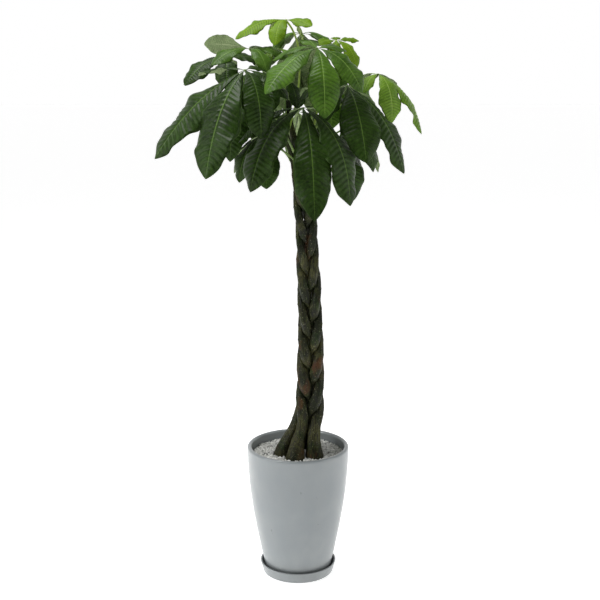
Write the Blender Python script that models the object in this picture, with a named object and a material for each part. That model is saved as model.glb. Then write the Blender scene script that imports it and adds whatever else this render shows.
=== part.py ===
"""A money tree: five plaited stems under a crown of palmate leaves, in a round glazed planter.

Metres, +Z up. The origin is the centre of the saucer's flat underside.
Every leaf, stem, layer of filling and vessel is an object of its own, and all of them are closed solids.
"""
import math

import bmesh
import bpy
from mathutils import Quaternion, Vector

TAU = 2 * math.pi
UP = Vector((0, 0, 1))

# Planter and saucer
RIM_RADIUS = 0.140
RIM_HEIGHT = 0.369
FOOT_RADIUS = 0.090
WALL = 0.011
FLOOR = 0.014
LIP = 0.012
FOOT_RING = 0.012
FOOT_RECESS = 0.003
DRAIN_RADIUS = 0.011
SAUCER_RADIUS = 0.106
SAUCER_FOOT_RADIUS = 0.098
SAUCER_HEIGHT = 0.030
SAUCER_FLOOR = 0.005
SAUCER_WALL = 0.0045
TURNS = 40
WALL_RINGS = 9
LIP_RINGS = 6

# Filling, and the clearance that touching pieces keep
SOIL_TOP = 0.324
GRAVEL_TOP = 0.342
CLEAR = 0.0003
BORE_CLEAR = 0.0006
BORE_RISE = 0.03

# Stems: heights of the feet in the soil, of the plait's ends and of the tips
STEMS = 5
STEM_FOOT = 0.262
ROOT_SWELL = 0.335
PLAIT_START = 0.437
PLAIT_END = 1.127
STEM_TIPS = (1.265, 1.215, 1.245, 1.310, 1.225)
PLAIT_PITCH = 0.43125
PLAIT_EASE = 0.05
ROOT_REACH = 0.050
TIP_REACH = (0.052, 0.060, 0.048, 0.058, 0.055)
TIP_RISE = 0.16
STEM_GAP = 0.0012
STEM_SIDES = 10
STEM_STEP = PLAIT_PITCH / 25
TIP_ROUNDING = 0.012
FOOT_ROUNDING = 0.03
CROWDING = 10

# Profiles by height: sideways lean of the plait, half its width, and a stem's radius
LEAN = ((0.28, 0.006), (0.36, 0.010), (0.48, 0.031), (0.68, 0.034), (0.92, 0.025), (1.12, 0.012),
        (1.32, 0.0))
PLAIT_HALF = ((0.40, 0.0255), (0.50, 0.0240), (0.64, 0.0222), (0.82, 0.0200), (0.96, 0.0188), (1.12, 0.0195))
GIRTH = ((0.27, 0.014), (0.31, 0.0235), (0.345, 0.0250), (0.38, 0.0205), (0.44, 0.0150), (0.52, 0.0132),
         (0.64, 0.0122), (0.82, 0.0106), (0.96, 0.0096), (1.12, 0.0088), (1.30, 0.0066))

# Leaves: petiole, hub where the leaflets meet, and blade
PETIOLE_RADIUS = 0.0024
PETIOLE_STEPS = 7
HUB_RADIUS = 0.0045
HUB_HALF = 0.0012
BLADE_THICKNESS = 0.0016
BLADE_ASPECT = 0.35
BLADE_CROWN = 0.20
BLADE_STATIONS = (0.07, 0.17, 0.31, 0.56, 0.80, 1.0)
BLADE_SWING = 7
BLADE_LEAST_HALF = 0.0015
MIDRIB_STEPS = 60
PLAIN_LEAFLET = (0, 0, 0, 0, 0, 1)
FAN_SPREAD = (-130, -65, 0, 65, 130)
FAN_TILT = 15


def fan(heading, length, start, end):
    """Leaflets of an even hand: the ones on the heading's side are longer and start lower."""
    leaflets = []
    for spread in FAN_SPREAD:
        azimuth = heading + spread
        share = 1 - 0.36 * (abs(spread) / 150) ** 1.4
        drop = FAN_TILT * math.cos(math.radians(spread))
        sway = math.sin(0.11 * azimuth + 37 * length)
        leaflets.append((azimuth + 4 * sway, start - drop, end - 0.3 * drop + 8 * sway, length * share))
    return leaflets


# One row for each leaf: the stem that bears it (0 is stem_1), the height of its node there, its hub, and its
# leaflets as (azimuth, elevation at the hub, elevation at the tip, length), then twist and breadth if given
LEAVES = {
    "leaf_front_left": (1, 1.170, (-0.128, -0.170, 1.389), (
        (140, 10, -15, 0.160), (188, -28, -53, 0.310, -26),
        (240, -30, -70, 0.310), (295, -15, -85, 0.200, 0, 1.10),
        (345, -5, -50, 0.130, 20, 1.20), (60, 15, -20, 0.120, 20))),
    "leaf_front_right": (4, 1.195, (0.047, -0.130, 1.441), (
        (165, 10, -30, 0.120, -16, 1.20), (225, -10, -45, 0.205, -10, 1.10),
        (280, -20, -80, 0.205, 0, 1.05), (335, -10, -60, 0.165, 25, 1.20),
        (45, 10, -10, 0.105, 25, 1.10), (105, 20, 5, 0.120, 0, 1.10))),
    "leaf_young_right": (0, 1.245, (0.099, 0.020, 1.460), (
        (225, 10, -20, 0.075, -25, 1.20), (265, 0, -90, 0.080, 0, 1.10), (310, 0, -65, 0.110, 0, 1.10),
        (20, 18, -10, 0.062, 30, 1.15), (90, 20, 0, 0.070))),
    "leaf_right": (0, 1.225, (0.207, 0.000, 1.376), (
        (235, 0, -55, 0.084, -20), (300, -15, -90, 0.150, 0, 1.20), (354, -25, -70, 0.196, 8),
        (60, 0, -60, 0.120, 0, 1.15), (130, 10, -30, 0.090))),
    "leaf_top": (2, 1.225, (-0.030, 0.000, 1.512), (
        (196, 5, -35, 0.142, -20, 1.15), (252, 5, -60, 0.115, 0, 1.10), (315, 5, -20, 0.092, 28, 1.15),
        (30, 0, -80, 0.085, 20, 1.35), (120, 10, -40, 0.090))),
    "leaf_upper_left": (2, 1.205, (-0.121, -0.040, 1.440), (
        (165, 15, 0, 0.122, 75, 1.15), (215, 5, -35, 0.120, -20, 1.20), (300, 5, -55, 0.110, 0, 1.20),
        (0, 10, -30, 0.105, 25, 1.20), (75, 20, -20, 0.100))),
    "leaf_front_low": (4, 1.150, (0.013, -0.170, 1.298), (
        (175, 0, -45, 0.186, -10), (220, -15, -70, 0.265, 0, 1.20),
        (280, -30, -75, 0.310, 0, 0.80), (322, -20, -80, 0.285), (55, 10, -20, 0.085),
        (115, 0, -30, 0.075))),
    "leaf_right_low": (4, 1.175, (0.124, -0.080, 1.348), (
        (235, -5, -60, 0.154), (285, -20, -65, 0.245, 0, 1.10), (342, -30, -70, 0.268, 12),
        (40, -10, -75, 0.180, 0, 1.02), (95, 10, -30, 0.090))),
    "leaf_left": (2, 1.180, (-0.190, 0.060, 1.417), (
        (90, 10, -40, 0.140), (150, 10, -50, 0.160, -18, 1.12), (220, 0, -45, 0.150, -18, 1.12),
        (275, 0, -60, 0.135, 0, 1.20), (20, 15, -20, 0.110, 30, 1.20))),
    "leaf_inner_left": (1, 1.180, (-0.100, -0.035, 1.335), (
        (165, 0, -60, 0.150, -15, 1.20), (230, -20, -80, 0.215, 0, 1.10), (275, -15, -60, 0.115),
        (75, 10, -30, 0.110))),
    "leaf_inner_right": (4, 1.205, (0.045, -0.010, 1.345), (
        (225, -10, -60, 0.085), (300, -10, -70, 0.096), (0, 0, -60, 0.120, 0, 1.20),
        (115, 10, -40, 0.090))),
    "leaf_back_top": (3, 1.280, (0.010, 0.105, 1.480), fan(85, 0.175, 5, -55)),
    "leaf_back_right": (0, 1.205, (0.110, 0.160, 1.385), fan(40, 0.200, 5, -75)),
    "leaf_back_left": (3, 1.250, (-0.115, 0.155, 1.375), fan(125, 0.205, 5, -75)),
    "leaf_left_low": (2, 1.155, (-0.160, 0.055, 1.280), fan(180, 0.185, -5, -75)),
    "leaf_right_back": (0, 1.180, (0.135, 0.090, 1.245), (
        (270, -5, -75, 0.140, 0, 1.20), (320, -15, -80, 0.160, 0, 1.10), (10, -20, -80, 0.165, 0, 1.10),
        (75, -10, -75, 0.130))),
    "leaf_back_low": (3, 1.215, (0.000, 0.190, 1.270), fan(90, 0.220, 0, -74)),
    "leaf_upper_back": (3, 1.265, (-0.050, 0.035, 1.440), (
        (150, 5, -60, 0.090, 0, 1.14), (235, 0, -60, 0.090), (310, 0, -55, 0.103),
        (20, -10, -70, 0.080, 0, 1.20))),
    "leaf_middle": (4, 1.205, (-0.045, -0.085, 1.375), (
        (190, 0, -60, 0.094), (250, -5, -70, 0.140, 0, 1.20), (315, -10, -80, 0.108))),
    "leaf_hidden_left": (1, 1.148, (-0.085, -0.075, 1.225), (
        (165, -10, -75, 0.135, 0, 1.20), (225, -15, -75, 0.150, 0, 1.25), (275, -30, -80, 0.152, 0, 1.25))),
    "leaf_hidden_right": (4, 1.140, (0.085, -0.060, 1.225), (
        (240, -20, -80, 0.150, 0, 1.25), (300, -20, -80, 0.200, 0, 1.18),
        (350, -15, -75, 0.140, 0, 1.10), (50, 0, -70, 0.110))),
}


# ---------------------------------------------------------------- shape helpers

def smooth_curve(points, x):
    """Value at x of a smooth curve through (x, value) points, level beyond its ends."""
    xs = [p[0] for p in points]
    ys = [p[1] for p in points]
    if x <= xs[0]:
        return ys[0]
    if x >= xs[-1]:
        return ys[-1]
    i = max(j for j in range(len(xs) - 1) if xs[j] <= x)

    def slope(j):
        a, b = max(j - 1, 0), min(j + 1, len(xs) - 1)
        return (ys[b] - ys[a]) / (xs[b] - xs[a])

    h = xs[i + 1] - xs[i]
    t = (x - xs[i]) / h
    return ((2 * t**3 - 3 * t**2 + 1) * ys[i] + (t**3 - 2 * t**2 + t) * h * slope(i)
            + (3 * t**2 - 2 * t**3) * ys[i + 1] + (t**3 - t**2) * h * slope(i + 1))


def ease(t):
    t = min(max(t, 0.0), 1.0)
    return t * t * (3 - 2 * t)


def polar(azimuth, elevation=0.0):
    flat = math.cos(elevation)
    return Vector((flat * math.cos(azimuth), flat * math.sin(azimuth), math.sin(elevation)))


def grow(bm, face, rings):
    """Extrude a face through rings of points, corner by corner, and return the last face."""
    for ring in rings:
        face = bmesh.ops.extrude_discrete_faces(bm, faces=[face])["faces"][0]
        for vert, point in zip(face.verts, ring):
            vert.co = point
    return face


def loft(bm, rings):
    """A closed tube through rings of points. Returns the face that ends it."""
    start = [bm.verts.new(point) for point in rings[0]]
    face = grow(bm, bm.faces.new(start), rings[1:])
    bm.faces.new(reversed(start))
    return face


def add_object(name, bm, material):
    bmesh.ops.recalc_face_normals(bm, faces=bm.faces)
    mesh = bpy.data.meshes.new(name)
    bm.to_mesh(mesh)
    bm.free()
    mesh.shade_smooth()
    mesh.set_sharp_from_angle(angle=math.radians(40))
    mesh.materials.append(material)
    obj = bpy.data.objects.new(name, mesh)
    bpy.context.scene.collection.objects.link(obj)
    return obj


def finish(name, colour, roughness, metallic=0.0):
    material = bpy.data.materials.new(name)
    material.use_nodes = True
    shader = material.node_tree.nodes["Principled BSDF"]
    shader.inputs["Base Color"].default_value = (*colour, 1)
    shader.inputs["Roughness"].default_value = roughness
    shader.inputs["Metallic"].default_value = metallic
    return material


def turned(name, profile, material):
    """Spin a closed (radius, height) profile once around the Z axis."""
    bm = bmesh.new()
    verts = [bm.verts.new((r, 0, z)) for r, z in profile]
    edges = [bm.edges.new((verts[i - 1], verts[i])) for i in range(len(verts))]
    edges = [e for e in edges if any(v.co.x > 0 for v in e.verts)]
    bmesh.ops.spin(bm, geom=verts + edges, axis=UP, cent=(0, 0, 0), angle=TAU, steps=TURNS, use_merge=True)
    bmesh.ops.remove_doubles(bm, verts=bm.verts, dist=0.00001)
    bmesh.ops.delete(bm, geom=[e for e in bm.edges if not e.link_faces], context="EDGES")
    return add_object(name, bm, material)


# ---------------------------------------------------------------- planter and filling

def pot_outside(z):
    t = (z - POT_FOOT) / (RIM_HEIGHT - POT_FOOT)
    return FOOT_RADIUS + (RIM_RADIUS - FOOT_RADIUS) * math.sin(math.pi / 2 * t)


def pot_inside(z):
    return pot_outside(z) - WALL


def pot_profile():
    outer = [(pot_outside(z), z) for z in WALL_LEVELS]
    half = LIP / 2
    angles = [math.pi * i / LIP_RINGS for i in range(LIP_RINGS + 1)]
    middle, height = RIM_RADIUS - half, RIM_HEIGHT - half
    lip_round = [(middle + half * math.cos(a), height + half * math.sin(a)) for a in angles]
    inner = [(pot_inside(z), z) for z in reversed(WALL_LEVELS) if z > POT_FLOOR_TOP + 0.004]
    floor = [(pot_inside(POT_FLOOR_TOP), POT_FLOOR_TOP), (DRAIN_RADIUS, POT_FLOOR_TOP)]
    recess = POT_FOOT + FOOT_RECESS
    ring = FOOT_RADIUS - FOOT_RING
    foot = [(DRAIN_RADIUS, recess), (ring - 0.002, recess), (ring, POT_FOOT)]
    return outer + lip_round + inner + floor + foot


def saucer_profile():
    top = SAUCER_HEIGHT
    return [(0, 0), (SAUCER_FOOT_RADIUS - 0.0015, 0), (SAUCER_FOOT_RADIUS, 0.0015),
            (SAUCER_RADIUS, top - 0.002), (SAUCER_RADIUS - 0.001, top - 0.0004),
            (SAUCER_RADIUS - SAUCER_WALL / 2, top), (SAUCER_RADIUS - SAUCER_WALL + 0.0008, top - 0.0006),
            (SAUCER_RADIUS - SAUCER_WALL, top - 0.003), (SAUCER_FOOT_RADIUS - 0.0030, SAUCER_FLOOR + 0.004),
            (SAUCER_FOOT_RADIUS - 0.0065, SAUCER_FLOOR), (0, SAUCER_FLOOR)]


def filling_profile(bottom, top):
    """Section of a layer that fills the planter between two heights."""
    levels = [z for z in WALL_LEVELS if bottom < z < top]
    wall = [(pot_inside(z) - CLEAR, z) for z in [bottom] + levels + [top]]
    return [(0, bottom)] + wall + [(0, top)]


POT_FOOT = SAUCER_FLOOR + CLEAR
POT_FLOOR_TOP = POT_FOOT + FLOOR
LIP_START = RIM_HEIGHT - LIP
WALL_LEVELS = [POT_FOOT + (LIP_START - POT_FOOT) * i / WALL_RINGS for i in range(WALL_RINGS + 1)]


def add_filling(name, bottom, top, material, cutters):
    layer = turned(name, filling_profile(bottom, top), material)
    for cutter in cutters:
        cut = layer.modifiers.new("bore_" + cutter.name, "BOOLEAN")
        cut.operation = "DIFFERENCE"
        cut.solver = "EXACT"
        cut.object = cutter
    return layer


# ---------------------------------------------------------------- stems

def plait_turn(u):
    """Progress along the plait, with a soft start."""
    if u <= -PLAIT_EASE:
        return 0.0
    if u >= PLAIT_EASE:
        return u
    return (u + PLAIT_EASE) ** 2 / (4 * PLAIT_EASE)


def stem_centre(k, z):
    """Where stem k crosses the height z: a figure-of-eight path, splayed at the roots and the tips."""
    turn = (plait_turn(z - PLAIT_START) - plait_turn(z - PLAIT_END)) / PLAIT_PITCH
    theta = TAU * (0.75 + turn + k / STEMS)
    half = smooth_curve(PLAIT_HALF, z)
    x, y = half * math.sin(theta), -half * math.sin(2 * theta)
    reach = math.hypot(x, y)
    spin, splay, wide = 0.0, 0.0, 0.0
    if z < PLAIT_START:
        splay = ease((PLAIT_START - z) / (PLAIT_START - ROOT_SWELL))
        spin = math.radians(8) * splay
        wide = ROOT_REACH
    elif z > PLAIT_END:
        splay = ease((z - PLAIT_END) / TIP_RISE)
        wide = TIP_REACH[k]
    f = (reach + (wide - reach) * splay) / reach
    c, s = math.cos(spin), math.sin(spin)
    return Vector((smooth_curve(LEAN, z) + f * (c * x - s * y), f * (s * x + c * y), z))


def stem_radius(k, z):
    r = smooth_curve(GIRTH, z) * (1 + 0.05 * math.sin(2.4 * k + 1) + 0.03 * math.sin(37 * z + 1.9 * k))
    to_tip = (STEM_TIPS[k] - z) / TIP_ROUNDING
    to_foot = (z - STEM_FOOT) / FOOT_ROUNDING
    if to_tip < 1:
        r *= math.sqrt(max(1 - (1 - to_tip) ** 2, 0.02))
    if to_foot < 1:
        r *= math.sqrt(max(1 - (1 - to_foot) ** 2, 0.05))
    return r


def stem_slope(k, z):
    h = 0.002
    return (stem_centre(k, z + h) - stem_centre(k, z - h)) / (2 * h)


def stem_room(k, z):
    """Directions to the other stems, and how far stem k may reach towards each."""
    rooms = []
    own = stem_radius(k, min(z, STEM_TIPS[k] - 0.02))
    for dz in (-STEM_STEP / 2, 0, STEM_STEP / 2):
        here = stem_centre(k, z + dz)
        for j in range(STEMS):
            if j != k:
                away = stem_centre(j, z + dz) - here
                other = stem_radius(j, min(z, STEM_TIPS[j] - 0.02))
                room = math.hypot(away.x, away.y) * own / (own + other) - STEM_GAP / 2
                rooms.append((math.atan2(away.y, away.x), room))
    return rooms


def stem_ring(k, z, grown=0.0):
    """Level section of stem k: a stretched round, flattened softly where its neighbours press."""
    centre, slope = stem_centre(k, z), stem_slope(k, z)
    stretch, lead = slope.length, math.atan2(slope.y, slope.x)
    r, rooms = stem_radius(k, z), stem_room(k, z)
    ring = []
    for i in range(STEM_SIDES):
        phi = TAU * i / STEM_SIDES
        reach = r * stretch / math.hypot(math.cos(phi - lead), stretch * math.sin(phi - lead))
        crowding = reach ** -CROWDING
        for angle, room in rooms:
            facing = math.cos(phi - angle)
            if facing > 0.05:
                crowding += (room / facing) ** -CROWDING
        reach = crowding ** (-1 / CROWDING) + grown
        ring.append(centre + reach * polar(phi))
    return ring


def stem_mesh(k, grown=0.0, top=None):
    top = STEM_TIPS[k] if top is None else top
    levels = []
    z = STEM_FOOT
    while z < top - 0.004:
        levels.append(z)
        z += STEM_STEP
    levels.append(top)
    levels[0] -= grown
    bm = bmesh.new()
    loft(bm, [stem_ring(k, z, grown) for z in levels])
    return bm


def add_stem_cutter(k):
    """A slightly thicker foot of stem k, which bores its hole in the filling."""
    foot = stem_mesh(k, BORE_CLEAR, GRAVEL_TOP + BORE_RISE)
    cutter = add_object("bore_%d" % (k + 1), foot, finish("bore", (1, 0, 0), 1))
    cutter.hide_render = True
    cutter.display_type = "WIRE"
    return cutter


# ---------------------------------------------------------------- leaves

def blade_share(s):
    """Width of a leaflet at the share s of its length, as a share of its greatest width."""
    return s ** 1.35 * (1 - s) ** 0.85 / 0.2305


def whole_leaflet(leaflet):
    """A leaflet's six numbers, with no twist and a breadth of 1 where it gives none."""
    return leaflet + PLAIN_LEAFLET[len(leaflet):]


def leaflet_frames(hub, leaflet, stations):
    """Points along a leaflet's midrib with the way it runs, its side and its upper face."""
    azimuth, start, end, length, twist, _ = whole_leaflet(leaflet)
    azimuth, start, end, twist = [math.radians(angle) for angle in (azimuth, start, end, twist)]
    swing = math.radians(BLADE_SWING) * math.sin(19 * azimuth + 60 * length)
    point = hub + 0.7 * HUB_RADIUS * polar(azimuth)
    frames, done = [], 0
    for i in range(MIDRIB_STEPS + 1):
        s = i / MIDRIB_STEPS
        run = polar(azimuth + swing * (s - 0.35), start + (end - start) * math.sin(math.pi / 2 * s))
        while done < len(stations) and stations[done] <= s + 1e-6:
            side = UP.cross(run).normalized()
            side.rotate(Quaternion(run, twist * min(3 * s, 1)))
            frames.append((point.copy(), run, side, run.cross(side)))
            done += 1
        point += run * length / MIDRIB_STEPS
    return frames


def blade_section(frame, half, thickness):
    """Four points of a leaflet's section: right edge, under the midrib, left edge, over the midrib."""
    point, run, side, upper = frame
    crown = BLADE_CROWN * half
    low = point - crown / 2 * upper
    mid = point + crown / 2 * upper
    return [low - half * side, mid - thickness / 2 * upper, low + half * side, mid + thickness / 2 * upper]


def petiole_path(stem, node, hub):
    """Four control points of the leaf stalk, from the stem's skin to under the hub."""
    centre = stem_centre(stem, node)
    along = stem_slope(stem, node).normalized()
    away = Vector((hub.x - centre.x, hub.y - centre.y, 0))
    out = (away - away.dot(along) * along).normalized()
    seat = centre + (stem_radius(stem, node) + CLEAR) * out
    end = hub - Vector((0, 0, HUB_HALF + 0.001))
    reach = (end - seat).length
    level = Vector((end.x - seat.x, end.y - seat.y, 0)).normalized()
    leaving = seat + 0.10 * reach * out + 0.22 * reach * UP
    arriving = end - 0.30 * reach * (level + UP).normalized()
    return seat, leaving, arriving, end, out


def bezier(points, t):
    a, b, c, d = points
    u = 1 - t
    place = u**3 * a + 3 * u * u * t * b + 3 * u * t * t * c + t**3 * d
    run = 3 * u * u * (b - a) + 6 * u * t * (c - b) + 3 * t * t * (d - c)
    return place, run.normalized()


def leaf_mesh(stem, node, hub, leaflets):
    """A stalk with one side for each leaflet, a small hub, and a blade drawn out of each side."""
    hub = Vector(hub)
    leaflets = sorted(leaflets, key=lambda leaflet: leaflet[0] % 360)
    turns = [math.radians(leaflet[0] % 360) for leaflet in leaflets]
    between = [(a + b) / 2 for a, b in zip(turns, turns[1:] + [turns[0] + TAU])]
    *path, out = petiole_path(stem, node, hub)
    rings = []
    for i in range(PETIOLE_STEPS):
        t = i / PETIOLE_STEPS
        place, run = bezier(path, t)
        tip_over = UP.rotation_difference(out if i == 0 else run)
        r = PETIOLE_RADIUS * (1 + 0.5 * (1 - t) ** 6)
        rings.append([place + r * (tip_over @ polar(a)) for a in turns])
    inner = 0.7 * HUB_RADIUS
    rings.append([hub + inner * polar(a) - HUB_HALF * UP for a in turns])
    bm = bmesh.new()
    under = loft(bm, rings)
    low = list(under.verts)
    bm.faces.remove(under)
    mid = [bm.verts.new(hub + HUB_RADIUS * polar(a)) for a in between]
    high = [bm.verts.new(hub + inner * polar(a) + HUB_HALF * UP) for a in turns]
    bm.faces.new(high)
    for j in range(len(turns)):
        after = (j + 1) % len(turns)
        bm.faces.new((low[j], low[after], mid[j]))
        bm.faces.new((high[j], mid[j], high[after]))
        face = bm.faces.new((mid[j - 1], low[j], mid[j], high[j]))
        draw_blade(bm, face, hub, leaflets[j])
    return bm


def brace(a, b):
    """Split the face that two corners share, from the one to the other."""
    shared = [face for face in a.link_faces if b in face.verts]
    bmesh.utils.face_split(shared[0], a, b)


def draw_blade(bm, face, hub, leaflet):
    """Grow a blade out of its side of the hub, its two skins split alike so that they never meet."""
    *_, length, _, breadth = whole_leaflet(leaflet)
    for s, frame in zip(BLADE_STATIONS, leaflet_frames(hub, leaflet, BLADE_STATIONS)):
        half = breadth * BLADE_ASPECT * length / 2 * blade_share(min(s, 0.995))
        thickness = BLADE_THICKNESS * (1 if s < 0.9 else 0.5)
        last = list(face.verts)
        face = grow(bm, face, [blade_section(frame, max(half, BLADE_LEAST_HALF), thickness)])
        _, under, _, over = face.verts
        for edge in (last[0], last[2]):
            for midrib in (under, over):
                brace(edge, midrib)


# ---------------------------------------------------------------- the plant

def build():
    for obj in list(bpy.data.objects):
        bpy.data.objects.remove(obj)
    glaze = finish("grey_glaze", (0.36, 0.39, 0.41), 0.28)
    soil = finish("potting_soil", (0.035, 0.025, 0.018), 0.95)
    stone = finish("pale_gravel", (0.40, 0.39, 0.37), 0.85)
    bark = finish("green_brown_bark", (0.035, 0.038, 0.020), 0.75)
    green = finish("leaf_green", (0.030, 0.070, 0.018), 0.35)
    turned("saucer", saucer_profile(), glaze)
    turned("pot", pot_profile(), glaze)
    for k in range(STEMS):
        add_object("stem_%d" % (k + 1), stem_mesh(k), bark)
    cutters = [add_stem_cutter(k) for k in range(STEMS)]
    add_filling("soil", POT_FLOOR_TOP + CLEAR, SOIL_TOP, soil, cutters)
    add_filling("gravel", SOIL_TOP + CLEAR, GRAVEL_TOP, stone, cutters)
    for name, row in LEAVES.items():
        add_object(name, leaf_mesh(*row), green)


build()
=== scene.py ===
"""The looks of a potted money tree: plaited bark, veined leaves, gravel, glazed planter and saucer."""
import math
import random

import bmesh
import bpy
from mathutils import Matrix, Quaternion, Vector, noise


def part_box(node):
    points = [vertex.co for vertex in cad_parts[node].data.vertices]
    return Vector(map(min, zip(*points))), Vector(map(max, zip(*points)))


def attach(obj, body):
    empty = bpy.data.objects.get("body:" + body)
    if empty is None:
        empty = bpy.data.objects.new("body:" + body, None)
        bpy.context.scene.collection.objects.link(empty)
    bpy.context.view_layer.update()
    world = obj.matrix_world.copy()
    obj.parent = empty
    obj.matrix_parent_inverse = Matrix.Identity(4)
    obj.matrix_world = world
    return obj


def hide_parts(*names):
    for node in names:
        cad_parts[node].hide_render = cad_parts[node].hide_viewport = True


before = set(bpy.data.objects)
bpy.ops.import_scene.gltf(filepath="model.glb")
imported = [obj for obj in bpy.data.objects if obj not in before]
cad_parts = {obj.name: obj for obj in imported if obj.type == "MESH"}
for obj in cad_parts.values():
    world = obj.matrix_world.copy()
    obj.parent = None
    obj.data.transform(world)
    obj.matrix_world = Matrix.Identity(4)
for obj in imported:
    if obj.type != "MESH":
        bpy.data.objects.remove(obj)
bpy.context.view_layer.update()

TAU = 2 * math.pi
UP = Vector((0, 0, 1))
JOIN = 0.00002

# ---------------------------------------------------------------- sizes read from the frame

POT_LOW, POT_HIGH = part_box("pot")
_, SAUCER_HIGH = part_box("saucer")
_, GRAVEL_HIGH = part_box("gravel")
RIM_RADIUS = POT_HIGH.x
RIM_HEIGHT = POT_HIGH.z
POT_FOOT = POT_LOW.z
SAUCER_RADIUS = SAUCER_HIGH.x
SAUCER_HEIGHT = SAUCER_HIGH.z
GRAVEL_TOP = GRAVEL_HIGH.z

# Planter and saucer sections
FOOT_RADIUS = 0.090
WALL = 0.011
LIP = 0.012
FLOOR = 0.014
FOOT_RING = 0.012
FOOT_RECESS = 0.003
DRAIN_RADIUS = 0.011
SAUCER_FOOT_RADIUS = 0.098
SAUCER_FLOOR = 0.005
SAUCER_WALL = 0.0045
TURNS = 144
WALL_LEVELS = 44
LIP_STEPS = 14

# Gravel
CHIPS = 2600
CHIP_VERTS = 12
CHIP_SEED = 5

# Stems
STEMS = 5
STEM_FOOT = 0.300
ROOT_SWELL = 0.335
PLAIT_START = 0.437
PLAIT_END = 1.127
STEM_TIPS = (1.265, 1.215, 1.245, 1.310, 1.225)
PLAIT_PITCH = 0.43125
PLAIT_EASE = 0.05
ROOT_REACH = 0.050
TIP_REACH = (0.052, 0.060, 0.048, 0.058, 0.055)
TIP_RISE = 0.16
TIP_ROUNDING = 0.012
CROWDING = 8
STEM_GAP = 0.0006
STEM_SIDES = 44
STEM_STEP = 0.0034
LEAN = ((0.28, 0.006), (0.36, 0.010), (0.48, 0.031), (0.68, 0.034), (0.92, 0.025), (1.12, 0.012),
        (1.32, 0.0))
PLAIT_HALF = ((0.40, 0.0255), (0.50, 0.0240), (0.64, 0.0222), (0.82, 0.0200), (0.96, 0.0188),
              (1.12, 0.0195))
GIRTH = ((0.27, 0.014), (0.31, 0.0235), (0.345, 0.0250), (0.38, 0.0205), (0.44, 0.0150), (0.52, 0.0132),
         (0.64, 0.0122), (0.82, 0.0106), (0.96, 0.0096), (1.12, 0.0088), (1.30, 0.0066))
SWELL = ((0.36, 1.0), (0.48, 1.10), (0.90, 1.12), (1.05, 1.04), (1.15, 1.0))

# Leaves
PETIOLE_RADIUS = 0.0024
STALK_SIDES = 12
STALK_RINGS = 44
STALK_SHARE = 0.9
HUB_RADIUS = 0.0045
HUB_HALF = 0.0012
BLADE_ASPECT = 0.35
BLADE_CROWN = 0.20
BLADE_BROADER = 1.07
BLADE_SWING = 7
BLADE_HALF = 0.00030
LONG_LEAFLET = 0.17
SHANK = 0.0011
RIPPLE = 0.030
QUILT = 0.0115
RIB_HALF = 0.0016
RIB_GROOVE = 0.009
RIB_RISE = 0.00120
VEIN_BEND = 0.075
VEIN_CURVE = 1.25
BLADE_COLUMNS = 18
SIDE_VEINS = 21
PLAIN_LEAFLET = (0, 0, 0, 0, 0, 1)
FAN_SPREAD = (-130, -65, 0, 65, 130)
FAN_TILT = 15


def fan(heading, length, start, end):
    """Leaflets of an even hand: the ones on the heading's side are longer and start lower."""
    leaflets = []
    for spread in FAN_SPREAD:
        azimuth = heading + spread
        share = 1 - 0.36 * (abs(spread) / 150) ** 1.4
        drop = FAN_TILT * math.cos(math.radians(spread))
        sway = math.sin(0.11 * azimuth + 37 * length)
        leaflets.append((azimuth + 4 * sway, start - drop, end - 0.3 * drop + 8 * sway, length * share))
    return leaflets


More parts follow.
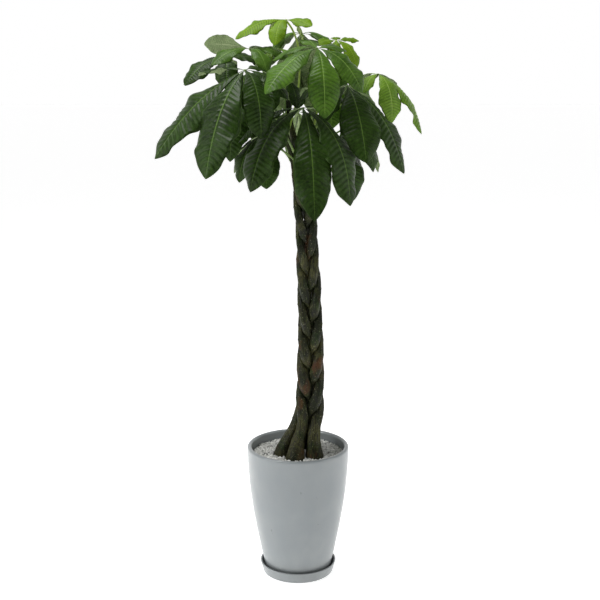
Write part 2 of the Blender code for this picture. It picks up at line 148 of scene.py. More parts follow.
# One row for each leaf: the stem that bears it (0 is stem_1), the height of its node there, its hub, its
# leaflets as (azimuth, elevation at the hub, elevation at the tip, length), then twist and breadth if given,
# and last the tone of its green
LEAVES = {
    "leaf_front_left": (1, 1.170, (-0.128, -0.170, 1.389), (
        (140, 10, -15, 0.160), (188, -28, -53, 0.310, -26),
        (240, -30, -70, 0.310), (295, -15, -85, 0.200, 0, 1.10),
        (345, -5, -50, 0.130, 20, 1.20), (60, 15, -20, 0.120, 20)), "deep"),
    "leaf_front_right": (4, 1.195, (0.047, -0.130, 1.441), (
        (165, 10, -30, 0.120, -16, 1.20), (225, -10, -45, 0.205, -10, 1.10),
        (280, -20, -80, 0.205, 0, 1.05), (335, -10, -60, 0.165, 25, 1.20),
        (45, 10, -10, 0.105, 25, 1.10), (105, 20, 5, 0.120, 0, 1.10)), "mid"),
    "leaf_young_right": (0, 1.245, (0.099, 0.020, 1.460), (
        (225, 10, -20, 0.075, -25, 1.20), (265, 0, -90, 0.080, 0, 1.10), (310, 0, -65, 0.110, 0, 1.10),
        (20, 18, -10, 0.062, 30, 1.15), (90, 20, 0, 0.070)), "lime"),
    "leaf_right": (0, 1.225, (0.207, 0.000, 1.376), (
        (235, 0, -55, 0.084, -20), (300, -15, -90, 0.150, 0, 1.20), (354, -25, -70, 0.196, 8),
        (60, 0, -60, 0.120, 0, 1.15), (130, 10, -30, 0.090)), "fresh"),
    "leaf_top": (2, 1.225, (-0.030, 0.000, 1.512), (
        (196, 5, -35, 0.142, -20, 1.15), (252, 5, -60, 0.115, 0, 1.10), (315, 5, -20, 0.092, 28, 1.15),
        (30, 0, -80, 0.085, 20, 1.35), (120, 10, -40, 0.090)), "lime"),
    "leaf_upper_left": (2, 1.205, (-0.121, -0.040, 1.440), (
        (165, 15, 0, 0.122, 75, 1.15), (215, 5, -35, 0.120, -20, 1.20), (300, 5, -55, 0.110, 0, 1.20),
        (0, 10, -30, 0.105, 25, 1.20), (75, 20, -20, 0.100)), "mid"),
    "leaf_front_low": (4, 1.150, (0.013, -0.170, 1.298), (
        (175, 0, -45, 0.186, -10), (220, -15, -70, 0.265, 0, 1.20),
        (280, -30, -75, 0.310, 0, 0.80), (322, -20, -80, 0.285), (55, 10, -20, 0.085),
        (115, 0, -30, 0.075)), "deep"),
    "leaf_right_low": (4, 1.175, (0.124, -0.080, 1.348), (
        (235, -5, -60, 0.154), (285, -20, -65, 0.245, 0, 1.10), (342, -30, -70, 0.268, 12),
        (40, -10, -75, 0.180, 0, 1.02), (95, 10, -30, 0.090)), "deep"),
    "leaf_left": (2, 1.180, (-0.190, 0.060, 1.417), (
        (90, 10, -40, 0.140), (150, 10, -50, 0.160, -18, 1.12), (220, 0, -45, 0.150, -18, 1.12),
        (275, 0, -60, 0.135, 0, 1.20), (20, 15, -20, 0.110, 30, 1.20)), "deep"),
    "leaf_inner_left": (1, 1.180, (-0.100, -0.035, 1.335), (
        (165, 0, -60, 0.150, -15, 1.20), (230, -20, -80, 0.215, 0, 1.10), (275, -15, -60, 0.115),
        (75, 10, -30, 0.110)), "deep"),
    "leaf_inner_right": (4, 1.205, (0.045, -0.010, 1.345), (
        (225, -10, -60, 0.085), (300, -10, -70, 0.096), (0, 0, -60, 0.120, 0, 1.20),
        (115, 10, -40, 0.090)), "deep"),
    "leaf_back_top": (3, 1.280, (0.010, 0.105, 1.480), fan(85, 0.175, 5, -55) + [
        (60, -45, -88, 0.235, 0, 1.15), (128, -45, -88, 0.225, 0, 1.15)], "mid"),
    "leaf_back_right": (0, 1.205, (0.110, 0.160, 1.385), fan(40, 0.200, 5, -75) + [
        (248, -45, -88, 0.170, 0, 1.20)], "mid"),
    "leaf_back_left": (3, 1.250, (-0.115, 0.155, 1.375), fan(125, 0.205, 5, -75) + [
        (285, -45, -88, 0.170, 0, 1.20)], "deep"),
    "leaf_left_low": (2, 1.155, (-0.160, 0.055, 1.280), fan(180, 0.185, -5, -75), "deep"),
    "leaf_right_back": (0, 1.180, (0.135, 0.090, 1.245), (
        (270, -5, -75, 0.140, 0, 1.20), (320, -15, -80, 0.160, 0, 1.10), (10, -20, -80, 0.165, 0, 1.10),
        (75, -10, -75, 0.130)), "deep"),
    "leaf_back_low": (3, 1.215, (0.000, 0.190, 1.270), fan(90, 0.220, 0, -74), "deep"),
    "leaf_upper_back": (3, 1.265, (-0.050, 0.035, 1.440), (
        (150, 5, -60, 0.090, 0, 1.14), (235, 0, -60, 0.090), (310, 0, -55, 0.103),
        (20, -10, -70, 0.080, 0, 1.20)), "fresh"),
    "leaf_middle": (4, 1.205, (-0.045, -0.085, 1.375), (
        (190, 0, -60, 0.094), (250, -5, -70, 0.140, 0, 1.20), (315, -10, -80, 0.108)), "deep"),
    "leaf_hidden_left": (1, 1.148, (-0.085, -0.075, 1.225), (
        (165, -10, -75, 0.135, 0, 1.20), (225, -15, -75, 0.150, 0, 1.25),
        (275, -30, -80, 0.152, 0, 1.25)), "deep"),
    "leaf_hidden_right": (4, 1.140, (0.085, -0.060, 1.225), (
        (240, -20, -80, 0.150, 0, 1.25), (300, -20, -80, 0.200, 0, 1.18),
        (350, -15, -75, 0.140, 0, 1.10), (50, 0, -70, 0.110)), "deep"),
}


# ---------------------------------------------------------------- shape helpers

def smooth_curve(points, x):
    """Value at x of a smooth curve through (x, value) points, level beyond its ends."""
    xs = [p[0] for p in points]
    ys = [p[1] for p in points]
    if x <= xs[0]:
        return ys[0]
    if x >= xs[-1]:
        return ys[-1]
    i = max(j for j in range(len(xs) - 1) if xs[j] <= x)

    def slope(j):
        a, b = max(j - 1, 0), min(j + 1, len(xs) - 1)
        return (ys[b] - ys[a]) / (xs[b] - xs[a])

    h = xs[i + 1] - xs[i]
    t = (x - xs[i]) / h
    return ((2 * t**3 - 3 * t**2 + 1) * ys[i] + (t**3 - 2 * t**2 + t) * h * slope(i)
            + (3 * t**2 - 2 * t**3) * ys[i + 1] + (t**3 - t**2) * h * slope(i + 1))


def ease(t):
    t = min(max(t, 0.0), 1.0)
    return t * t * (3 - 2 * t)


def polar(azimuth, elevation=0.0):
    flat = math.cos(elevation)
    return Vector((flat * math.cos(azimuth), flat * math.sin(azimuth), math.sin(elevation)))


def new_bmesh():
    bm = bmesh.new()
    bm.loops.layers.uv.new("UVMap")
    return bm


def skin(bm, across, along, place, slot=0):
    """Lay a grid over a surface: place(u, v) gives its point for u and v from 0 to 1."""
    first = len(bm.faces)
    grid = bmesh.ops.create_grid(bm, x_segments=across, y_segments=along, size=0.5, calc_uvs=True)
    for vert in grid["verts"]:
        place(vert, vert.co.x + 0.5, vert.co.y + 0.5)
    bm.faces.ensure_lookup_table()
    for face in bm.faces[first:]:
        face.material_index = slot


def close_up(bm):
    """Join the seams, fill what is left open and turn the normals out."""
    bmesh.ops.remove_doubles(bm, verts=bm.verts, dist=JOIN)
    open_edges = [e for e in bm.edges if e.is_boundary]
    if open_edges:
        bmesh.ops.holes_fill(bm, edges=open_edges, sides=0)
    bmesh.ops.recalc_face_normals(bm, faces=bm.faces)


def add_piece(name, bm, materials, slot, *nodes):
    """Turn a finished bmesh into a piece that rides on the plant and stands for CAD nodes."""
    mesh = bpy.data.meshes.new(name)
    bm.to_mesh(mesh)
    bm.free()
    mesh.shade_smooth()
    for material in materials:
        mesh.materials.append(material)
    piece = bpy.data.objects.new(name, mesh)
    bpy.context.scene.collection.objects.link(piece)
    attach(piece, "root")
    if nodes:
        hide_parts(*nodes)
    return piece


# ---------------------------------------------------------------- shader helpers

class Graph:
    """A few short words for wiring up nodes."""

    def __init__(self, tree):
        self.tree = tree

    def add(self, kind, inputs=(), **settings):
        node = self.tree.nodes.new(kind)
        for key, value in settings.items():
            setattr(node, key, value)
        for key, value in dict(inputs).items():
            self.feed(node.inputs[key], value)
        return node

    def feed(self, socket, value):
        if isinstance(value, bpy.types.NodeSocket):
            self.tree.links.new(value, socket)
        elif isinstance(value, tuple) and len(value) == 3 and socket.type == "RGBA":
            socket.default_value = (*value, 1)
        else:
            socket.default_value = value

    def math(self, operation, a, b=0.0, clamp=False):
        node = self.add("ShaderNodeMath", {0: a, 1: b}, operation=operation, use_clamp=clamp)
        return node.outputs[0]

    def ramp(self, value, low, high, a=0.0, b=1.0):
        """Smooth step of a value between two limits, put between a and b."""
        node = self.add("ShaderNodeMapRange", {"Value": value, "From Min": low, "From Max": high,
                                               "To Min": a, "To Max": b}, interpolation_type="SMOOTHSTEP")
        return node.outputs["Result"]

    def mix(self, share, a, b):
        node = self.add("ShaderNodeMix", data_type="RGBA")
        self.feed(node.inputs[0], share)
        self.feed(node.inputs[6], a)
        self.feed(node.inputs[7], b)
        return node.outputs[2]

    def noise(self, vector, scale, detail=4.0, rough=0.55, distortion=0.0):
        node = self.add("ShaderNodeTexNoise", {"Vector": vector, "Scale": scale, "Detail": detail,
                                               "Roughness": rough, "Distortion": distortion})
        return node.outputs["Fac"]

    def stretched(self, vector, x, y, z):
        return self.add("ShaderNodeMapping", {"Vector": vector, "Scale": (x, y, z)}).outputs["Vector"]

    def place(self):
        return self.add("ShaderNodeTexCoord").outputs["Object"]

    def bump(self, height, distance, strength=1.0, normal=None):
        node = self.add("ShaderNodeBump", {"Height": height, "Distance": distance, "Strength": strength})
        if normal:
            self.feed(node.inputs["Normal"], normal)
        return node.outputs["Normal"]


def new_material(name):
    material = bpy.data.materials.new(name)
    material.use_nodes = True
    graph = Graph(material.node_tree)
    return material, graph, material.node_tree.nodes["Principled BSDF"].inputs


def new_group(name, inputs, outputs):
    tree = bpy.data.node_groups.new(name, "ShaderNodeTree")
    for label, kind in inputs:
        tree.interface.new_socket(label, in_out="INPUT", socket_type=kind)
    for label, kind in outputs:
        tree.interface.new_socket(label, in_out="OUTPUT", socket_type=kind)
    graph = Graph(tree)
    return tree, graph, graph.add("NodeGroupInput").outputs, graph.add("NodeGroupOutput").inputs


def srgb(*levels):
    """A colour given as 0 to 255 display levels, in linear light."""
    return tuple((c / 255 / 12.92) if c < 10.3 else ((c / 255 + 0.055) / 1.055) ** 2.4 for c in levels)


# ---------------------------------------------------------------- stems

def plait_turn(u):
    """Progress along the plait, with a soft start."""
    if u <= -PLAIT_EASE:
        return 0.0
    if u >= PLAIT_EASE:
        return u
    return (u + PLAIT_EASE) ** 2 / (4 * PLAIT_EASE)


def stem_centre(k, z):
    """Where stem k crosses the height z: a figure-of-eight path, splayed at the roots and the tips."""
    turn = (plait_turn(z - PLAIT_START) - plait_turn(z - PLAIT_END)) / PLAIT_PITCH
    theta = TAU * (0.75 + turn + k / STEMS)
    half = smooth_curve(PLAIT_HALF, z)
    x, y = half * math.sin(theta), -half * math.sin(2 * theta)
    reach = math.hypot(x, y)
    spin, splay, wide = 0.0, 0.0, 0.0
    if z < PLAIT_START:
        splay = ease((PLAIT_START - z) / (PLAIT_START - ROOT_SWELL))
        spin = math.radians(8) * splay
        wide = ROOT_REACH
    elif z > PLAIT_END:
        splay = ease((z - PLAIT_END) / TIP_RISE)
        wide = TIP_REACH[k]
    f = (reach + (wide - reach) * splay) / reach
    c, s = math.cos(spin), math.sin(spin)
    return Vector((smooth_curve(LEAN, z) + f * (c * x - s * y), f * (s * x + c * y), z))


def stem_radius(k, z):
    """Girth of stem k at the height z, rounded off at its tip."""
    r = smooth_curve(GIRTH, z) * (1 + 0.05 * math.sin(2.4 * k + 1) + 0.03 * math.sin(37 * z + 1.9 * k))
    r *= smooth_curve(SWELL, z)
    to_tip = (STEM_TIPS[k] - z) / TIP_ROUNDING
    if to_tip < 1:
        r *= math.sqrt(max(1 - (1 - to_tip) ** 2, 0.0004))
    return r


def stem_slope(k, z):
    """How far the path of stem k moves for each unit of height."""
    h = 0.002
    return (stem_centre(k, z + h) - stem_centre(k, z - h)) / (2 * h)


def stem_room(k, z):
    """Directions to the other stems, and how far stem k may reach towards each."""
    rooms = []
    own = stem_radius(k, min(z, STEM_TIPS[k] - 0.02))
    here = stem_centre(k, z)
    for j in range(STEMS):
        if j != k:
            away = stem_centre(j, z) - here
            other = stem_radius(j, min(z, STEM_TIPS[j] - 0.02))
            room = math.hypot(away.x, away.y) * own / (own + other) - STEM_GAP / 2
            rooms.append((math.atan2(away.y, away.x), room))
    return rooms


def stem_reach(k, z, phi, rooms, stretch, lead):
    """Radius of stem k's level section towards phi: a stretched round, flattened where neighbours press."""
    reach = stem_radius(k, z) * stretch / math.hypot(math.cos(phi - lead), stretch * math.sin(phi - lead))
    crowding = reach ** -CROWDING
    for angle, room in rooms:
        facing = math.cos(phi - angle)
        if facing > 0.05:
            crowding += (room / facing) ** -CROWDING
    return crowding ** (-1 / CROWDING)


def bark_relief(k, z, phi):
    """Ridges along the stem, rings of old leaf scars and soft lumps, in metres."""
    around = 1.6 * polar(phi)
    ridges = noise.noise(Vector((3.2 * around.x, 3.2 * around.y, 14 * z + 7 * k)))
    grain = noise.noise(Vector((9 * around.x, 9 * around.y, 40 * z + 3 * k)))
    lumps = noise.noise(Vector((around.x, around.y, 22 * z + 11 * k)))
    scar_turn = 27 * z + 0.37 * k + 0.15 * math.sin(phi + 2 * k)
    scar = math.exp(-((scar_turn - round(scar_turn)) / 0.07) ** 2)
    return 0.0014 * ridges + 0.0009 * grain + 0.0016 * lumps + 0.0009 * scar


def build_stem(k, bark):
    """Level rings up the stem, closed at the buried end and at the tip."""
    top = STEM_TIPS[k]
    along = int((top - STEM_FOOT) / STEM_STEP)
    rows = []
    for i in range(along + 1):
        z = STEM_FOOT + (top - STEM_FOOT) * i / along
        slope = stem_slope(k, z)
        rows.append((z, stem_centre(k, z), stem_room(k, z), slope.length, math.atan2(slope.y, slope.x)))

    def place(vert, u, v):
        z, centre, rooms, stretch, lead = rows[round(v * along)]
        phi = TAU * (round(u * STEM_SIDES) % STEM_SIDES) / STEM_SIDES
        reach = stem_reach(k, z, phi, rooms, stretch, lead)
        fade = min((top - z) / 0.02, 1.0)
        vert.co = centre + (reach + fade * bark_relief(k, z, phi)) * polar(phi)

    bm = new_bmesh()
    skin(bm, STEM_SIDES, along, place)
    close_up(bm)
    name = "stem_%d" % (k + 1)
    add_piece("barked_" + name, bm, [bark], "bark", name)


def bark_material():
    material, g, shader = new_material("plaited_bark")
    where = g.place()
    patches = g.ramp(g.noise(where, 14, 5, 0.6), 0.40, 0.62)
    moss = g.ramp(g.noise(where, 31, 4, 0.6, 0.3), 0.52, 0.66)
    red = g.ramp(g.noise(g.stretched(where, 1, 1, 0.5), 19, 4, 0.6, 0.4), 0.56, 0.70)
    streaks = g.noise(g.stretched(where, 1, 1, 0.16), 230, 5, 0.65)
    speckle_and_glint = g.ramp(g.noise(where, 250, 3, 0.7), 0.58, 0.70)
    colour = g.mix(patches, srgb(27, 33, 12), srgb(70, 70, 38))
    colour = g.mix(g.math("MULTIPLY", moss, 0.55), colour, srgb(36, 56, 18))
    colour = g.mix(g.ramp(streaks, 0.38, 0.62), g.mix(0.82, colour, srgb(12, 12, 7)), colour)
    colour = g.mix(g.math("MULTIPLY", red, 0.44), colour, srgb(92, 50, 24))
    # Pale grey flecks: partly the bark's own speckle, partly painted glints.
    colour = g.mix(g.math("MULTIPLY", speckle_and_glint, 0.50), colour, srgb(146, 146, 116))
    g.feed(shader["Base Color"], colour)
    g.feed(shader["Roughness"], g.ramp(streaks, 0.3, 0.7, 0.42, 0.80))
    g.feed(shader["Normal"], g.bump(streaks, 0.0010, 0.7, g.bump(g.noise(where, 90, 5, 0.7), 0.0012, 0.5)))
    shader["Specular IOR Level"].default_value = 0.20
    return material


# ---------------------------------------------------------------- leaves

def blade_share(s):
    """Width of a leaflet at the share s of its length, as a share of its greatest width."""
    return max(s, 0.0) ** 1.35 * (1 - s) ** 0.85 / 0.2305


def leaflet_frames(hub, leaflet, stations):
    """Points along a leaflet's midrib with its side and its upper face, at even stations."""
    azimuth, start, end, length, twist, _ = leaflet
    azimuth, start, end, twist = [math.radians(angle) for angle in (azimuth, start, end, twist)]
    swing = math.radians(BLADE_SWING) * math.sin(19 * azimuth + 60 * length)
    point = hub + 0.7 * HUB_RADIUS * polar(azimuth)
    frames = []
    for i in range(stations + 1):
        s = i / stations
        run = polar(azimuth + swing * (s - 0.35), start + (end - start) * math.sin(math.pi / 2 * s))
        side = UP.cross(run).normalized()
        side.rotate(Quaternion(run, twist * min(3 * s, 1)))
        frames.append((point.copy(), side, run.cross(side)))
        middle = polar(azimuth + swing * (s + 0.5 / stations - 0.35),
                       start + (end - start) * math.sin(math.pi / 2 * (s + 0.5 / stations)))
        point += middle * length / stations
    return frames


def panel_lift(s, t):
    """Quilting between the side veins, from 0 in a vein to 1 on the panel."""
    phase = SIDE_VEINS * (s - VEIN_BEND * abs(t) ** VEIN_CURVE)
    rise = math.sin(math.pi * phase) ** 2
    return rise * (1 - abs(t) ** 5) * min(abs(t) * 7, 1) * min(s * 12, 1) * min((1 - s) * 8, 1)


def margin(s, right, phase):
    """Uneven outline of a leaflet: shallow lobes that differ on its two sides."""
    side = 2.1 if right else 0.0
    return 1 + 0.016 * math.sin(27 * s + phase + side) + 0.012 * math.sin(61 * s + 2 * phase + 3 * side)


def build_blade(bm, layer, hub, leaflet):
    """One leaflet: an upper and a lower skin, with quilting, a midrib and rippled margins."""
    leaflet += PLAIN_LEAFLET[len(leaflet):]
    *_, length, _, breadth = leaflet
    stations = SIDE_VEINS * (6 if length > LONG_LEAFLET else 4)
    frames = leaflet_frames(hub, leaflet, stations)
    half_width = breadth * BLADE_BROADER * BLADE_ASPECT * length / 2
    phase = 40 * leaflet[0] + 900 * length

    def surface(side_sign):
        def place(vert, u, v):
            point, side, upper = frames[round(v * stations)]
            x = 2 * u - 1
            t = math.copysign(abs(x) ** 1.35, x)
            share = blade_share(v)
            half = half_width * share * margin(v, t > 0, phase) + SHANK * (1 - v) ** 12 * min(30 * v, 1)
            turn = TAU * 2.3 * v + phase + (1.3 if t > 0 else 0)
            swing = math.sin(turn) + 0.30 * math.sin(2.7 * turn + 1)
            ripple = RIPPLE * length * swing * abs(t) ** 2.5 * share
            fold = -BLADE_CROWN * half * (t * t - 0.5)
            lift = fold + ripple + QUILT * length * panel_lift(v, t) * share
            rim = (1 - abs(x) ** 4) * min(40 * v, 1) * min(25 * (1 - v), 1)
            across = t * half
            rib = math.exp(-(across / RIB_HALF) ** 2) * (1 - 0.7 * v)
            if side_sign > 0:
                lift += rim * (BLADE_HALF - RIB_GROOVE * rib * half_width)
            else:
                lift -= rim * (BLADE_HALF + RIB_RISE * rib * (0.4 + half_width / 0.08))
            vert.co = point + across * side + lift * upper
            vert[layer] = (t, v, length)
        return place

    skin(bm, BLADE_COLUMNS, stations, surface(1), 0)
    skin(bm, BLADE_COLUMNS, stations, surface(-1), 1)


def petiole_path(stem, node, hub):
    """Four control points of the leaf stalk, from the stem's skin to under the hub."""
    centre = stem_centre(stem, node)
    along = stem_slope(stem, node).normalized()
    away = Vector((hub.x - centre.x, hub.y - centre.y, 0))
    out = (away - away.dot(along) * along).normalized()
    seat = centre + (stem_radius(stem, node) - 0.001) * out
    end = hub - Vector((0, 0, HUB_HALF + 0.001))
    reach = (end - seat).length
    level = Vector((end.x - seat.x, end.y - seat.y, 0)).normalized()
    after_seat = seat + 0.10 * reach * out + 0.22 * reach * UP
    before_end = end - 0.30 * reach * (level + UP).normalized()
    return seat, after_seat, before_end, end


def bezier(points, t):
    """Point and direction of a cubic curve."""
    a, b, c, d = points
    u = 1 - t
    place = u**3 * a + 3 * u * u * t * b + 3 * u * t * t * c + t**3 * d
    run = 3 * u * u * (b - a) + 6 * u * t * (c - b) + 3 * t * t * (d - c)
    return place, run.normalized()


def build_stalk(bm, layer, stem, node, hub):
    """The petiole: swollen where it leaves the stem, and ending in a small round hub."""
    path = petiole_path(stem, node, hub)
    spokes = [polar(TAU * j / STALK_SIDES) for j in range(STALK_SIDES)]
    rings = []
    for i in range(STALK_RINGS + 1):
        t = i / STALK_RINGS
        if t < STALK_SHARE:
            place, run = bezier(path, t / STALK_SHARE)
            swelling = 0.75 * math.exp(-t / 0.05) + 0.25 * math.exp((t - STALK_SHARE) / 0.04)
            r = PETIOLE_RADIUS * (1 + swelling)
            turn = UP.rotation_difference(run)
            ring = [place + r * (turn @ spoke) for spoke in spokes]
        else:
            bulge = (t - STALK_SHARE) / 0.1
            r = PETIOLE_RADIUS * 1.4
            if bulge > 0.2:
                r = HUB_RADIUS * 0.92 * math.sqrt(max(1 - (2 * bulge - 1) ** 2, 0.0))
            z = -HUB_HALF - 0.001 + (2 * HUB_HALF + 0.002) * bulge
            ring = [hub + Vector((0, 0, z)) + r * spoke for spoke in spokes]
        rings.append(ring)

    def place_on(vert, u, v):
        vert.co = rings[round(v * STALK_RINGS)][round(u * STALK_SIDES) % STALK_SIDES]
        vert[layer] = (0, 0, 0)

    skin(bm, STALK_SIDES, STALK_RINGS, place_on, 2)


def build_leaf(name, row, tones):
    stem, node, hub, leaflets, tone = row
    hub = Vector(hub)
    bm = new_bmesh()
    layer = bm.verts.layers.float_vector.new("blade")
    for leaflet in leaflets:
        build_blade(bm, layer, hub, leaflet)
    build_stalk(bm, layer, stem, node, hub)
    close_up(bm)
    slot = "young_leaf" if tone == "lime" else "mature_leaf"
    add_piece("veined_" + name, bm, tones[tone], slot, name)


def vein_group():
    """Masks of the midrib, the side veins and the mesh between them, and a painted shade on one slope of
    each quilted panel, on a leaflet's own measure.
    """
    tree, g, inputs, outputs = new_group(
        "leaf_veins", [("Blade", "NodeSocketVector")],
        [("Midrib", "NodeSocketFloat"), ("Side Veins", "NodeSocketFloat"), ("Panel", "NodeSocketFloat"),
         ("Net", "NodeSocketFloat"), ("Edge", "NodeSocketFloat")])
    parts = g.add("ShaderNodeSeparateXYZ", {"Vector": inputs["Blade"]}).outputs
    off = g.math("ABSOLUTE", parts["X"])
    s = parts["Y"]
    taper = g.ramp(s, 0.0, 1.0, 0.045, 0.018)
    midrib = g.math("SUBTRACT", 1.0, g.ramp(g.math("DIVIDE", off, taper), 0.55, 1.25), True)
    bend = g.math("MULTIPLY", g.math("POWER", off, VEIN_CURVE), VEIN_BEND)
    phase = g.math("MULTIPLY", g.math("SUBTRACT", s, bend), float(SIDE_VEINS))
    apart = g.math("ABSOLUTE", g.math("SUBTRACT", g.math("FRACT", g.math("ADD", phase, 0.5)), 0.5))
    line = g.math("SUBTRACT", 1.0, g.ramp(apart, 0.035, 0.13), True)
    side = g.math("MULTIPLY", line, g.ramp(off, 0.99, 0.70))
    mesh_place = g.add("ShaderNodeCombineXYZ", {
        "X": g.math("MULTIPLY", off, 16.0), "Y": g.math("MULTIPLY", phase, 2.2), "Z": parts["Z"]}).outputs[0]
    cells = g.add("ShaderNodeTexVoronoi", {"Vector": mesh_place, "Scale": 1.0}, feature="DISTANCE_TO_EDGE")
    net = g.math("SUBTRACT", 1.0, g.ramp(cells.outputs["Distance"], 0.0, 0.14), True)
    g.feed(outputs["Midrib"], midrib)
    g.feed(outputs["Side Veins"], side)
    g.feed(outputs["Net"], net)
    # Painted shade: a wave along the leaflet, one period per side vein, high on the slope of each quilted
    # panel that is darkened.
    shade_wave = g.math("SINE", g.math("MULTIPLY", g.math("ADD", phase, 0.10), TAU))
    g.feed(outputs["Panel"], g.ramp(shade_wave, -0.9, 0.9))
    g.feed(outputs["Edge"], g.ramp(off, 0.93, 1.0))
    return tree


def leaf_material(name, veins, dark, light, vein_colour, roughness, upper):
    material, g, shader = new_material(name)
    blade = g.add("ShaderNodeAttribute", attribute_name="blade").outputs["Vector"]
    lines = g.add("ShaderNodeGroup", node_tree=veins)
    g.feed(lines.inputs["Blade"], blade)
    lines = lines.outputs
    where = g.place()
    cloud = g.ramp(g.noise(where, 17, 4, 0.6), 0.30, 0.70)
    mottle = g.noise(where, 150, 4, 0.6)
    colour = g.mix(cloud, dark, light)
    colour = g.mix(g.ramp(mottle, 0.35, 0.75, 0.0, 0.30), colour, g.mix(0.5, light, vein_colour))
    # Painted shade: one slope of each quilted panel is darkened towards black, more on the upper side than
    # underneath.
    shade = g.mix(0.62, colour, (0, 0, 0))
    colour = g.mix(g.math("MULTIPLY", lines["Panel"], 0.50 if upper else 0.15), colour, shade)
    colour = g.mix(g.math("MULTIPLY", lines["Net"], 0.10), colour, vein_colour)
    colour = g.mix(g.math("MULTIPLY", lines["Side Veins"], 0.10 if upper else 0.35), colour, vein_colour)
    colour = g.mix(g.math("MULTIPLY", lines["Midrib"], 0.75), colour, vein_colour)
    colour = g.mix(g.math("MULTIPLY", lines["Edge"], 0.30), colour, vein_colour)
    g.feed(shader["Base Color"], colour)
    g.feed(shader["Roughness"], g.ramp(mottle, 0.2, 0.8, roughness - 0.05, roughness + 0.10))
    shader["Specular IOR Level"].default_value = 0.105 if upper else 0.06
    net_bump = g.bump(lines["Net"], 0.0002, -0.20 if upper else 0.20)
    g.feed(shader["Normal"], g.bump(lines["Side Veins"], 0.0008, -0.6 if upper else 0.4,
                                    g.bump(mottle, 0.0006, 0.25, net_bump)))
    return material


def stalk_material(name, low, high):
    material, g, shader = new_material(name)
    where = g.place()
    colour = g.mix(g.ramp(g.noise(where, 30, 4, 0.6), 0.35, 0.65), low, high)
    colour = g.mix(g.ramp(g.noise(where, 380, 3, 0.6), 0.60, 0.75, 0.0, 0.4), colour, srgb(96, 84, 52))
    g.feed(shader["Base Color"], colour)
    g.feed(shader["Normal"], g.bump(g.noise(g.stretched(where, 1, 1, 0.2), 500, 3), 0.0004, 0.4))
    shader["Roughness"].default_value = 0.45
    return material


def leaf_tones():
    """For each age of leaf, the materials of its upper side, its underside and its stalk."""
    veins = vein_group()
    under = leaf_material("leaf_underside", veins, srgb(106, 128, 84), srgb(138, 156, 110),
                          srgb(184, 196, 150), 0.62, False)
    young_under = leaf_material("young_underside", veins, srgb(150, 172, 96), srgb(176, 196, 128),
                                srgb(206, 218, 164), 0.55, False)
    stalk = stalk_material("leaf_stalk", srgb(78, 104, 44), srgb(110, 134, 62))
    young_stalk = stalk_material("young_stalk", srgb(128, 156, 52), srgb(160, 182, 80))
    shades = {"deep": (srgb(13, 31, 3), srgb(36, 61, 12), srgb(90, 118, 52), 0.35),
              "mid": (srgb(38, 70, 10), srgb(74, 110, 28), srgb(124, 154, 74), 0.36),
              "fresh": (srgb(78, 116, 20), srgb(114, 150, 46), srgb(156, 182, 92), 0.40),
              "lime": (srgb(78, 112, 6), srgb(102, 136, 14), srgb(138, 164, 50), 0.44)}
    tones = {}
    for tone, (dark, light, vein, roughness) in shades.items():
        top = leaf_material("leaf_" + tone, veins, dark, light, vein, roughness, True)
        young = tone == "lime"
        tones[tone] = [top, young_under if young else under, young_stalk if young else stalk]
    return tones


# ---------------------------------------------------------------- planter, saucer and gravel

def pot_outside(z):
    """Outer radius of the planter at the height z."""
    t = (z - POT_FOOT) / (RIM_HEIGHT - POT_FOOT)
    return FOOT_RADIUS + (RIM_RADIUS - FOOT_RADIUS) * math.sin(math.pi / 2 * t)


def turned(profile):
    """Spin a closed (radius, height) profile once around the Z axis."""
    bm = new_bmesh()
    verts = [bm.verts.new((r, 0, z)) for r, z in profile]
    edges = [bm.edges.new((verts[i - 1], verts[i])) for i in range(len(verts))]
    edges = [e for e in edges if any(v.co.x > 0 for v in e.verts)]
    bmesh.ops.spin(bm, geom=verts + edges, axis=UP, cent=(0, 0, 0), angle=TAU, steps=TURNS, use_merge=True)
    bmesh.ops.remove_doubles(bm, verts=bm.verts, dist=0.00001)
    bmesh.ops.delete(bm, geom=[e for e in bm.edges if not e.link_faces], context="EDGES")
    bmesh.ops.recalc_face_normals(bm, faces=bm.faces)
    return bm


def rounded(corners, radius, steps):
    """A closed profile whose corners are rounded off, all but those on the axis."""
    out = []
    for i, (x, z) in enumerate(corners):
        here = Vector((x, z))
        back, on = Vector(corners[i - 1]), Vector(corners[(i + 1) % len(corners)])
        r = min(radius, (back - here).length / 2.2, (on - here).length / 2.2)
        if x < 1e-6:
            out.append((x, z))
            continue
        a, b = here + (back - here).normalized() * r, here + (on - here).normalized() * r
        for j in range(steps + 1):
            t = j / steps
            out.append(tuple((1 - t) ** 2 * a + 2 * t * (1 - t) * here + t * t * b))
    return out


def pot_profile():
    """Outer wall, rolled lip, inner wall, floor with the drainage hole, and foot ring."""
    low = POT_FOOT + 0.002
    span = RIM_HEIGHT - LIP - low
    floor_top = POT_FOOT + FLOOR
    heights = [low + span * i / WALL_LEVELS for i in range(WALL_LEVELS + 1)]
    outer = [(FOOT_RADIUS - 0.0022, POT_FOOT), (FOOT_RADIUS - 0.0006, POT_FOOT + 0.0006)]
    outer += [(pot_outside(z), z) for z in heights]
    half = LIP / 2
    turns = [math.pi * i / LIP_STEPS for i in range(LIP_STEPS + 1)]
    lip_round = [(RIM_RADIUS - half + half * math.cos(a), RIM_HEIGHT - half + half * math.sin(a))
                 for a in turns]
    inner = [(pot_outside(z) - WALL, z) for z in reversed(heights) if z > floor_top + 0.004]
    recess = POT_FOOT + FOOT_RECESS
    floor = [(pot_outside(floor_top) - WALL - 0.002, floor_top), (DRAIN_RADIUS, floor_top),
             (DRAIN_RADIUS, recess), (FOOT_RADIUS - FOOT_RING - 0.002, recess),
             (FOOT_RADIUS - FOOT_RING, POT_FOOT)]
    return outer + lip_round + inner + floor


